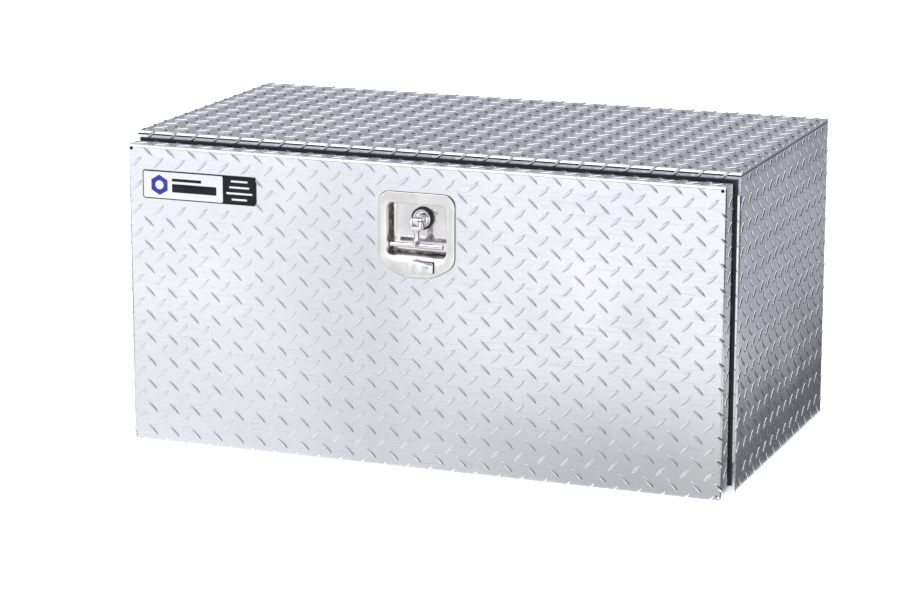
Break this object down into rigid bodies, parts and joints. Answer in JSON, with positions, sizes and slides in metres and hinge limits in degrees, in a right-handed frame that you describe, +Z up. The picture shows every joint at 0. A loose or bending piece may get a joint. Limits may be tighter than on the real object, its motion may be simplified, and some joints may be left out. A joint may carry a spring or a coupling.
{
  "type": "truck tool box",
  "caption": "Underbody truck tool box in aluminium tread plate with a drop-down door, folding T-handle latch, key lock with dust cover, weatherstrip and slotted stay arms.",
  "frame": {"origin": "middle of the underside of the body, on the plane the box rests on", "axes": "+X along the width towards the box's right end as seen from the front, +Y from the door to the back, +Z up"},
  "size_m": [0.9144, 0.5155, 0.4572],
  "materials": {
    "tread_plate": "bright diamond tread plate",
    "plain_sheet": "mill",
    "weld_bead": "rippled",
    "hinge_steel": "brushed",
    "pin_steel": "turned",
    "rivet_metal": "satin",
    "polished_steel": "polished",
    "zinc_steel": "zinc plated",
    "lock_brass": "satin",
    "seal_rubber": "matt black",
    "label_face": "gloss"
  },
  "bodies": {
    "body": {"top_panel": "tread_plate", "floor_panel": "tread_plate", "back_panel": "tread_plate", "left_end_panel": "tread_plate", "right_end_panel": "tread_plate", "seam_welds": "weld_bead", "striker_plate": "plain_sheet", "weatherstrip": "seal_rubber", "hinge_body_leaf": "hinge_steel", "hinge_pin": "pin_steel", "hinge_rivets": "rivet_metal", "stay_body_brackets": "plain_sheet", "stay_body_pins": "pin_steel", "stay_body_nuts": "zinc_steel"},
    "door": {"door_outer_panel": "tread_plate", "door_inner_panel": "plain_sheet", "hinge_door_leaf": "hinge_steel", "label_plate": "label_face", "latch_gasket": "seal_rubber", "latch_dish": "polished_steel", "hub_seal": "seal_rubber", "latch_studs": "zinc_steel", "latch_nuts": "zinc_steel", "lock_cylinder": "polished_steel", "lock_nut": "zinc_steel", "dust_cover_rivet": "rivet_metal", "stay_door_brackets": "plain_sheet", "stay_door_rivets": "rivet_metal", "stay_door_pins": "pin_steel"},
    "latch": {"latch_hub": "polished_steel", "latch_washer": "zinc_steel", "latch_circlip": "pin_steel", "cam_arm": "zinc_steel", "cam_nut": "zinc_steel", "handle_pin": "pin_steel"},
    "handle": {"t_handle": "polished_steel"},
    "lock": {"lock_plug": "lock_brass", "lock_pawl": "zinc_steel", "pawl_screw": "pin_steel"},
    "cover": {"dust_cover": "polished_steel"},
    "left_stay": {"left_stay_arm": "plain_sheet"},
    "right_stay": {"right_stay_arm": "plain_sheet"}
  },
  "joints": [
    {"name": "door_hinge", "type": "hinge", "parent": "body", "child": "door", "pos_m": [0, -0.2486, 0.006], "axis": [1, 0, 0], "range_deg": [0, 84]},
    {"name": "left_stay_turn", "type": "hinge", "parent": "door", "child": "left_stay", "pos_m": [-0.42, -0.212, 0.20262], "axis": [-1, 0, 0], "range_deg": [0, 42]},
    {"name": "right_stay_turn", "type": "hinge", "parent": "door", "child": "right_stay", "pos_m": [0.42, -0.212, 0.20262], "axis": [-1, 0, 0], "range_deg": [0, 42]},
    {"name": "latch_turn", "type": "hinge", "parent": "door", "child": "latch", "pos_m": [0, -0.2315, 0.3652], "axis": [0, -1, 0], "range_deg": [0, 90]},
    {"name": "handle_fold", "type": "hinge", "parent": "latch", "child": "handle", "pos_m": [0, -0.2545, 0.3652], "axis": [-1, 0, 0], "range_deg": [0, 90]},
    {"name": "lock_turn", "type": "hinge", "parent": "door", "child": "lock", "pos_m": [0, -0.2565, 0.3002], "axis": [0, -1, 0], "range_deg": [0, 90]},
    {"name": "cover_swing", "type": "hinge", "parent": "door", "child": "cover", "pos_m": [0.016, -0.2565, 0.3002], "axis": [0, -1, 0], "range_deg": [0, 100]}
  ],
  "couplings": [
    {"joint": "left_stay_turn", "follows": "door_hinge", "ratio": 0.5},
    {"joint": "right_stay_turn", "follows": "door_hinge", "ratio": 0.5},
    {"joint": "handle_fold", "follows": "latch_turn", "ratio": 1}
  ]
}
